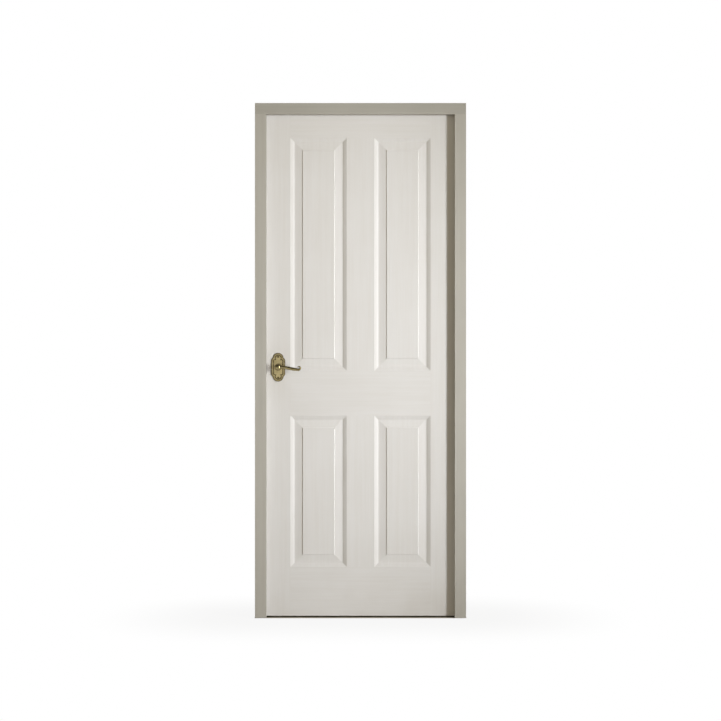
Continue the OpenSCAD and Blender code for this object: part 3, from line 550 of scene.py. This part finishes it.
def grubHole(form, spot):
    mesh = bmesh.new()
    r = form["grubRadius"]
    rings = []
    for drop in form["grubDrops"]:
        rings.append([mesh.verts.new(spot(r * math.cos(a), drop, form["grubOut"] + r * math.sin(a)))
                      for a in turns(form["grubSides"])])
    skinRings(mesh, rings)
    return newPiece("grubHoleCutter", mesh)


def forgeLever(name, node, side, form):
    x0, z0 = form["spindle"]

    def spot(x, z, out):
        return Vector((x0 + x, side * (form["face"] + out), z0 + z))

    mesh = bmesh.new()
    loftBar(mesh, form, spot)
    turnNeck(mesh, form, spot)
    lever = newPiece(name, mesh)
    remesh = lever.modifiers.new("onePiece", "REMESH")
    remesh.mode = "VOXEL"
    remesh.voxel_size = form["voxel"]
    ease = lever.modifiers.new("fettled", "SMOOTH")
    ease.factor = form["easeShare"]
    ease.iterations = form["easings"]
    settle(lever)
    cutter = grubHole(form, spot)
    bore = lever.modifiers.new("grub", "BOOLEAN")
    bore.operation = "DIFFERENCE"
    bore.solver = "EXACT"
    bore.object = cutter
    settle(lever)
    bpy.data.objects.remove(cutter)
    lever.data.materials.clear()
    lever.data.materials.append(leverBrass)
    smoothTo(lever, form["smooth"])
    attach(lever, "levers")
    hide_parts(node)


forgeLever("front_lever_forged", "front_lever", -1.0, leverForm)
forgeLever("rear_lever_forged", "rear_lever", 1.0, leverForm)
print("levers forged")

# the bolt spring, wound from round wire
springForm = {"turns": 7, "turnRings": 36, "wireSides": 12, "coilRadius": 0.0021, "wireRadius": 0.0004,
              "height": 0.983, "slack": 0.0002, "travel": 0.0096, "smooth": 40.0}


def windSpring(form):
    low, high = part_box("bolt_spring")
    wireRadius, steps = form["wireRadius"], form["turns"] * form["turnRings"]
    mesh = bmesh.new()
    rings = []
    for i in range(steps + 1):
        a = 2 * math.pi * i / form["turnRings"]
        x = lerp(low[0] + wireRadius, high[0] - wireRadius, i / steps)
        ring = []
        for b in turns(form["wireSides"]):
            r = form["coilRadius"] + wireRadius * math.cos(b)
            at = (x - wireRadius * math.sin(b), r * math.cos(a), form["height"] + r * math.sin(a))
            ring.append(mesh.verts.new(at))
        rings.append(ring)
    skinRings(mesh, rings)
    spring = newPiece("bolt_spring_wound", mesh)
    spring.data.materials.append(zincPlate)
    smoothTo(spring, form["smooth"])
    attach(spring, "leaf")
    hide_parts("bolt_spring")
    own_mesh(spring)


windSpring(springForm)
print("spring wound")


# rays that show a surface, straight or mirrored
def seenRays(tree):
    path = put(tree, "ShaderNodeLightPath").outputs
    seen = calc(tree, "ADD", path["Is Camera Ray"], path["Is Glossy Ray"])
    return calc(tree, "ADD", seen, path["Is Transmission Ray"], clamp=True)


# floor: plain and pale, its own shade shows close to the frame's foot, and painted shade makes it dark in the
# gap under the leaf
floorLook = {"radius": 7.0, "sides": 96, "level": -0.0004, "foot": ((0.0, 0.414), (-0.015, 0.0325)),
             "pale": (0.42, 0.395, 0.355), "under": (0.42, 0.38, 0.31), "gap": (0.05, 0.042, 0.034),
             "hollow": {"Reach": 0.03, "Open": 0.5, "Shut": 0.1}, "near": (0.0, 0.003),
             "far": (0.05, 0.7, 0.91, 1.0)}


def layFloor(look):
    mesh = bmesh.new()
    bmesh.ops.create_circle(mesh, cap_ends=True, segments=look["sides"], radius=look["radius"])
    floor = newPiece("paleFloor", mesh)
    floor.location.z = look["level"]
    finish = bpy.data.materials.new("paleFloor")
    finish.use_nodes = True
    tree = finish.node_tree
    tree.nodes.clear()
    place = put(tree, "ShaderNodeTexCoord").outputs["Object"]
    x, y, _ = put(tree, "ShaderNodeSeparateXYZ", {0: place}).outputs
    beyond = []
    for value, (middle, half) in zip((x, y), look["foot"]):
        past = calc(tree, "SUBTRACT", calc(tree, "ABSOLUTE", calc(tree, "SUBTRACT", value, middle)), half)
        beyond.append(calc(tree, "POWER", calc(tree, "MAXIMUM", past, 0.0), 2.0))
    away = calc(tree, "SQRT", calc(tree, "ADD", *beyond))
    clear = ramp(tree, away, *look["near"])
    white = calc(tree, "MULTIPLY", clear, ramp(tree, away, *look["far"]))
    # painted shade: the floor turns dark where the leaf closes over it
    gapShadeMask = useGroup(tree, hollows, **look["hollow"])["Mask"]
    under = blendColour(tree, gapShadeMask, look["under"], look["gap"])
    ground = blendColour(tree, clear, under, look["pale"])
    plain = put(tree, "ShaderNodeBsdfDiffuse", {"Color": ground})
    lit = put(tree, "ShaderNodeEmission", {"Color": (1.0, 1.0, 1.0, 1.0), "Strength": 1.0})
    share = calc(tree, "MULTIPLY", seenRays(tree), white)
    mixed = put(tree, "ShaderNodeMixShader", {0: share, 1: plain.outputs[0], 2: lit.outputs[0]})
    put(tree, "ShaderNodeOutputMaterial", {"Surface": mixed.outputs[0]})
    floor.data.materials.append(finish)


layFloor(floorLook)

# world: white where it is seen or mirrored, with a dark ceiling for the metal, and a soft warm fill
worldLook = {"seen": (1.0, 1.0, 1.0), "ceiling": (0.10, 0.095, 0.09), "ceilingFrom": (-0.12, 0.2),
             "fill": (1.0, 0.90, 0.67), "fillLevel": (0.0, 0.8, 0.59, 0.13)}


def makeWorld(look):
    world = bpy.data.worlds.new("paleStudio")
    bpy.context.scene.world = world
    world.use_nodes = True
    tree = world.node_tree
    tree.nodes.clear()
    way = put(tree, "ShaderNodeTexCoord").outputs["Generated"]
    up = put(tree, "ShaderNodeSeparateXYZ", {0: way}).outputs[2]
    mirrored = put(tree, "ShaderNodeLightPath").outputs["Is Glossy Ray"]
    above = calc(tree, "MULTIPLY", ramp(tree, up, *look["ceilingFrom"]), mirrored)
    sky = blendColour(tree, above, look["seen"], look["ceiling"])
    level = ramp(tree, up, *look["fillLevel"])
    fill = put(tree, "ShaderNodeBackground", {"Color": (*look["fill"], 1.0), "Strength": level})
    shown = put(tree, "ShaderNodeBackground", {"Color": sky, "Strength": 1.0})
    mixed = put(tree, "ShaderNodeMixShader", {0: seenRays(tree), 1: fill.outputs[0], 2: shown.outputs[0]})
    put(tree, "ShaderNodeOutputWorld", {"Surface": mixed.outputs[0]})


makeWorld(worldLook)

# lamps: two soft oval spots from the right, a wing for the open leaf, and a pair behind
keyLook = {"aim": (-0.15, 0.0, 1.045), "radius": 0.5, "cone": 21.6, "blend": 1.0, "tall": 2.3,
           "colour": (0.955, 0.98, 1.0)}
rearLook = {"aim": (0.0, 0.0, 1.0), "radius": 0.9, "blend": 0.8, "tall": 1.0, "colour": (0.95, 0.975, 1.0)}
lampLook = {
    "keyLow": {**keyLook, "at": (3.5, -3.07, 0.6), "power": 490.0},
    "keyHigh": {**keyLook, "at": (3.5, -3.07, 1.9), "power": 500.0},
    "wing": {**keyLook, "at": (4.4, -3.6, 1.6), "aim": (1.33, 0.1, 1.0), "power": 620.0, "cone": 15.5,
             "tall": 2.4},
    "rear": {**rearLook, "at": (-5.7, 4.3, 1.0), "power": 1880.0, "cone": 32.0},
    "rearFill": {**rearLook, "at": (4.6, 5.2, 1.0), "power": 240.0, "cone": 40.0},
}


def hangLamp(name, look):
    lamp = bpy.data.lights.new(name, "SPOT")
    lamp.energy = look["power"]
    lamp.shadow_soft_size = look["radius"]
    lamp.spot_size = math.radians(look["cone"])
    lamp.spot_blend = look["blend"]
    lamp.color = look["colour"]
    holder = bpy.data.objects.new(name, lamp)
    holder.location = look["at"]
    holder.scale.y = look["tall"]  # an oval beam
    holder.rotation_mode = "QUATERNION"
    holder.rotation_quaternion = (Vector(look["aim"]) - Vector(look["at"])).to_track_quat("-Z", "Y")
    bpy.context.scene.collection.objects.link(holder)


for name, look in lampLook.items():
    hangLamp(name + "Lamp", look)

# camera: square on to the door, as far back as the reveals show
cameraLook = {"at": (0.0, -6.9, 1.0095), "front": -0.0475, "wide": 2.8266, "sensor": 36.0, "clip": 100.0}


def setCamera(look):
    data = bpy.data.cameras.new("viewCamera")
    data.sensor_width = look["sensor"]
    data.lens = look["sensor"] * (look["front"] - look["at"][1]) / look["wide"]
    data.clip_end = look["clip"]
    camera = bpy.data.objects.new("viewCamera", data)
    camera.location = look["at"]
    camera.rotation_euler = (math.pi / 2, 0.0, 0.0)
    bpy.context.scene.collection.objects.link(camera)
    bpy.context.scene.camera = camera


setCamera(cameraLook)
bpy.context.scene.view_settings.view_transform = "Standard"
print("stage, lamps and camera set")
